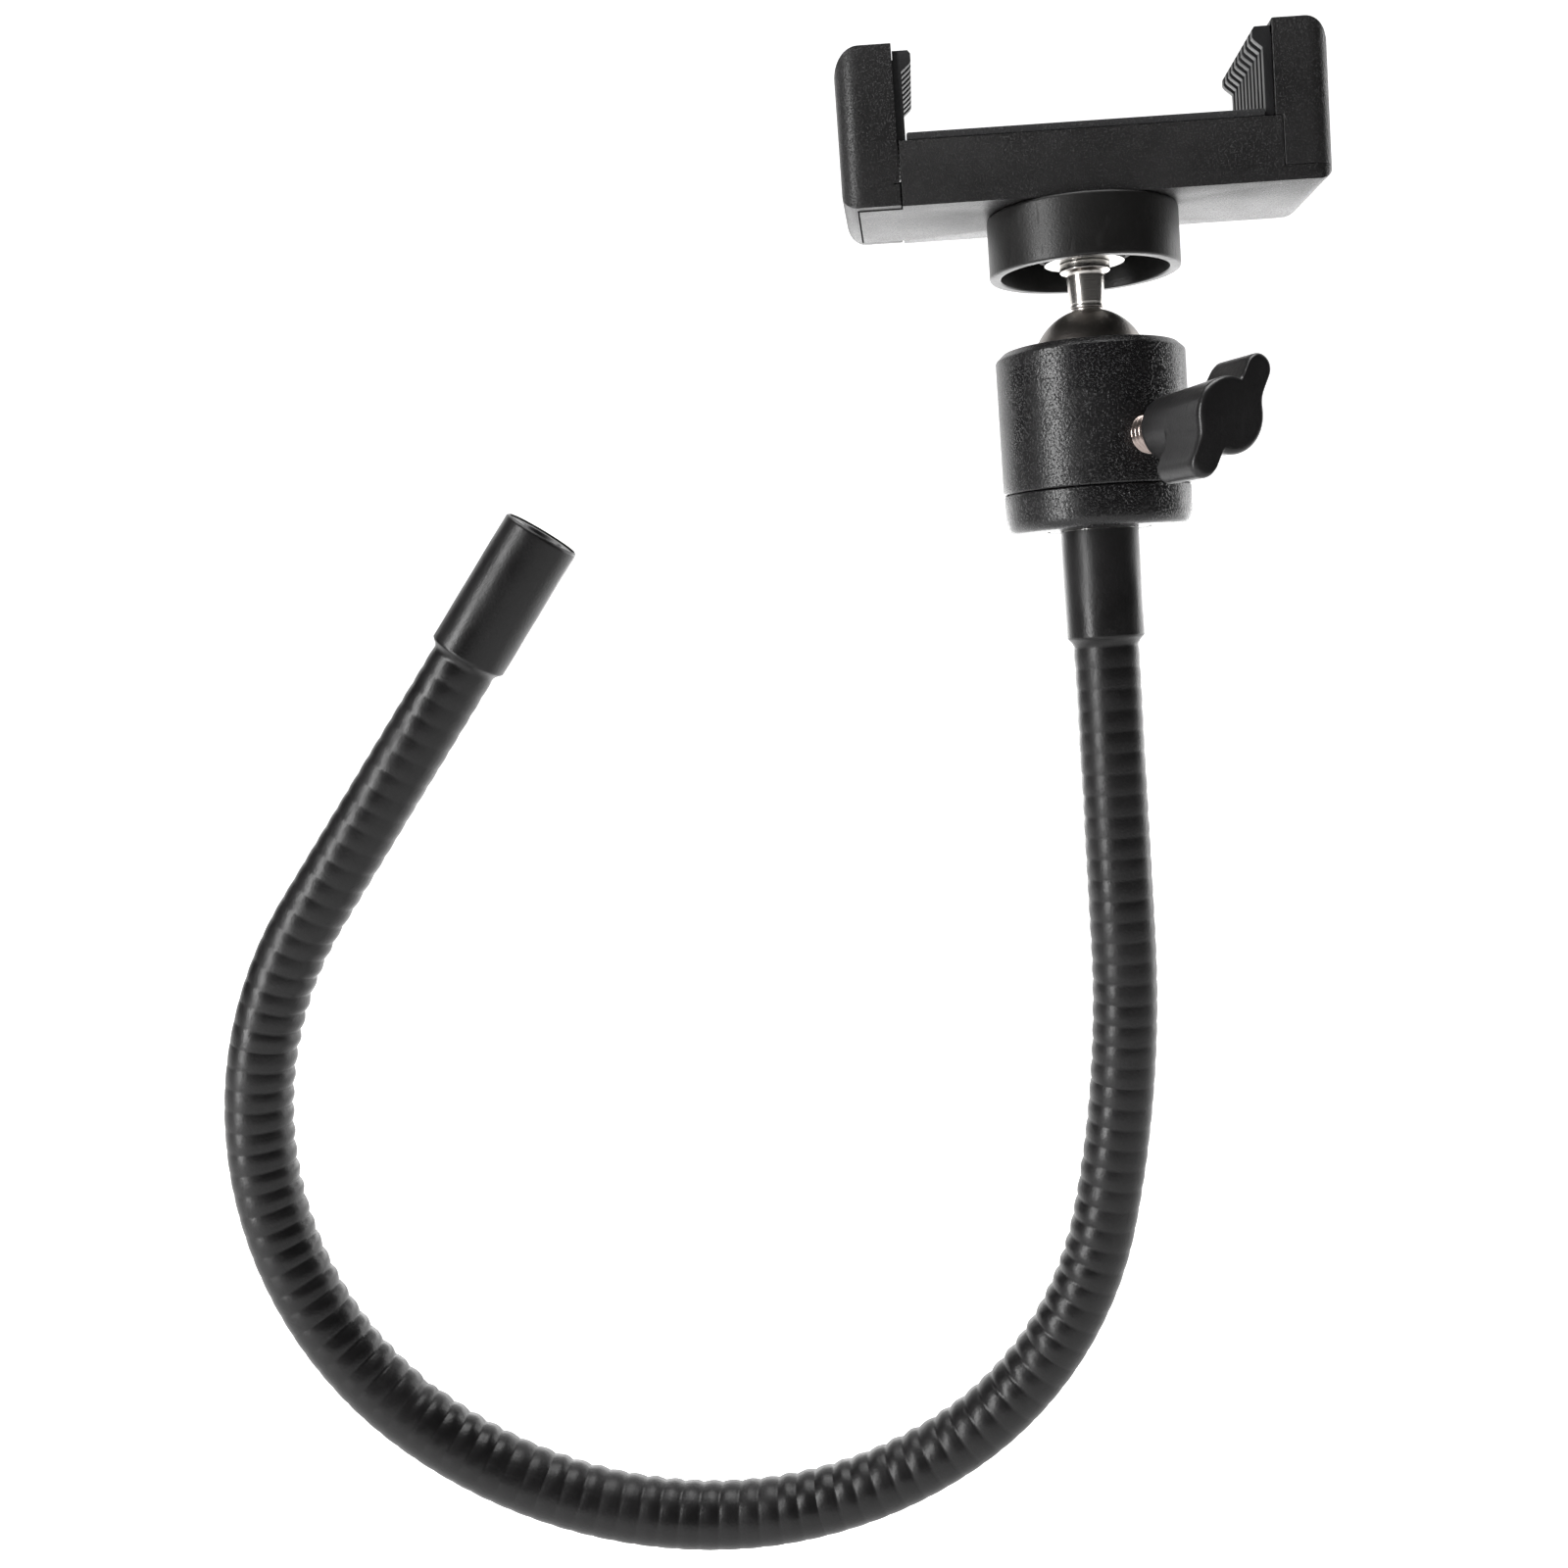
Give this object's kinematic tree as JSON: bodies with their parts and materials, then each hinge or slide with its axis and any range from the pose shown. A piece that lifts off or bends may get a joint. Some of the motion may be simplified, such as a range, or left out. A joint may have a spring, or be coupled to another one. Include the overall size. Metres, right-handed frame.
{
  "type": "flexible phone mount",
  "caption": "Sprung phone clamp on a small ball head, carried by a bendable sleeved neck with a threaded foot.",
  "frame": {"origin": "middle of the threaded mouth in the neck's foot", "axes": "+Z is the axis of the ball head in the pictured pose, +X runs along the clamp, and the bent neck lies in the XZ plane"},
  "size_m": [0.1835, 0.05, 0.2353],
  "materials": {
    "sleeve": "satin shrink sleeve over wound coil",
    "plated_steel": "turned and plated",
    "coil_steel": "wound, oiled",
    "black_metal": "fine speckled black coat",
    "bright_steel": "zinc plated",
    "nylon": "plain moulded",
    "ball_chrome": "polished, darker on the ball",
    "screw_steel": "bright threaded screw",
    "knob_plastic": "moulded, slightly glossy",
    "disc_plastic": "smooth moulded",
    "clamp_plastic": "finely grained moulded",
    "brass": "turned",
    "pad_rubber": "soft ribbed",
    "foam": "closed cell foam",
    "spring_steel": "wound wire"
  },
  "bodies": {
    "foot": {"foot_ferrule": "plated_steel", "neck_coil_1": "coil_steel", "neck_sleeve": "sleeve"},
    "neck_2": {"neck_coil_2": "coil_steel"},
    "neck_3": {"neck_coil_3": "coil_steel"},
    "neck_4": {"neck_coil_4": "coil_steel"},
    "neck_5": {"neck_coil_5": "coil_steel"},
    "neck_6": {"neck_coil_6": "coil_steel"},
    "neck_7": {"neck_coil_7": "coil_steel"},
    "head": {"neck_coil_8": "coil_steel", "head_ferrule": "plated_steel", "base_plate": "black_metal", "ball_housing": "black_metal", "pressure_block": "bright_steel"},
    "knob": {"lock_screw": "screw_steel", "lock_knob": "knob_plastic"},
    "ball_seat": {"ball_cup": "nylon"},
    "ball": {"ball_stem": "ball_chrome"},
    "disc": {"lock_disc": "disc_plastic", "disc_nut": "bright_steel"},
    "clamp": {"clamp_body": "clamp_plastic", "clamp_cover": "clamp_plastic", "cover_screws": "bright_steel", "tripod_nut": "brass", "fixed_jaw": "clamp_plastic", "fixed_jaw_pad": "pad_rubber", "foam_pad": "foam", "front_spring": "spring_steel", "rear_spring": "spring_steel"},
    "jaw": {"moving_jaw": "clamp_plastic", "moving_jaw_pad": "pad_rubber"}
  },
  "joints": [
    {"name": "neck_bend_1", "type": "hinge", "parent": "foot", "child": "neck_2", "pos_m": [-0.04185, 0, -0.0576], "axis": [0.0017, 1, 0], "range_deg": [-8, 45], "deforming": ["neck_sleeve"]},
    {"name": "neck_bend_2", "type": "hinge", "parent": "neck_2", "child": "neck_3", "pos_m": [-0.05374, 0, -0.10199], "axis": [0.9945, 0, 0.1045], "range_deg": [-30, 30], "deforming": ["neck_sleeve"]},
    {"name": "neck_bend_3", "type": "hinge", "parent": "neck_3", "child": "neck_4", "pos_m": [-0.03288, 0, -0.14294], "axis": [0.0017, 1, 0], "range_deg": [-8, 45], "deforming": ["neck_sleeve"]},
    {"name": "neck_bend_4", "type": "hinge", "parent": "neck_4", "child": "neck_5", "pos_m": [0.00909, 0, -0.16251], "axis": [0.1392, 0, 0.9903], "range_deg": [-30, 30], "deforming": ["neck_sleeve"]},
    {"name": "neck_bend_5", "type": "hinge", "parent": "neck_5", "child": "neck_6", "pos_m": [0.05439, 0, -0.15371], "axis": [0.0017, 1, 0], "range_deg": [-8, 45], "deforming": ["neck_sleeve"]},
    {"name": "neck_bend_6", "type": "hinge", "parent": "neck_6", "child": "neck_7", "pos_m": [0.08192, 0, -0.11717], "axis": [-0.9703, 0, 0.2419], "range_deg": [-30, 30], "deforming": ["neck_sleeve"]},
    {"name": "neck_bend_7", "type": "hinge", "parent": "neck_7", "child": "head", "pos_m": [0.08763, 0, -0.07064], "axis": [0.0017, 1, 0], "range_deg": [-8, 45], "deforming": ["neck_sleeve"]},
    {"name": "knob_turn", "type": "hinge", "parent": "head", "child": "knob", "pos_m": [0.08763, 0, 0.00776], "axis": [0.4226, -0.9063, 0], "continuous": true},
    {"name": "ball_pan", "type": "hinge", "parent": "head", "child": "ball_seat", "pos_m": [0.08763, 0, 0.01986], "axis": [0, 0, 1], "continuous": true},
    {"name": "ball_tilt", "type": "hinge", "parent": "ball_seat", "child": "ball", "pos_m": [0.08763, 0, 0.01986], "axis": [0, 1, 0], "range_deg": [-40, 40]},
    {"name": "disc_turn", "type": "hinge", "parent": "ball", "child": "disc", "pos_m": [0.08763, 0, 0.03416], "axis": [0, 0, 1], "continuous": true},
    {"name": "clamp_turn", "type": "hinge", "parent": "ball", "child": "clamp", "pos_m": [0.08763, 0, 0.04346], "axis": [0, 0, 1], "continuous": true},
    {"name": "jaw_slide", "type": "slide", "parent": "clamp", "child": "jaw", "axis": [-1, 0, 0], "range_m": [0, 0.03], "stiffness_N_per_m": 500, "springref_m": -0.02, "deforming": ["front_spring", "rear_spring"]}
  ]
}
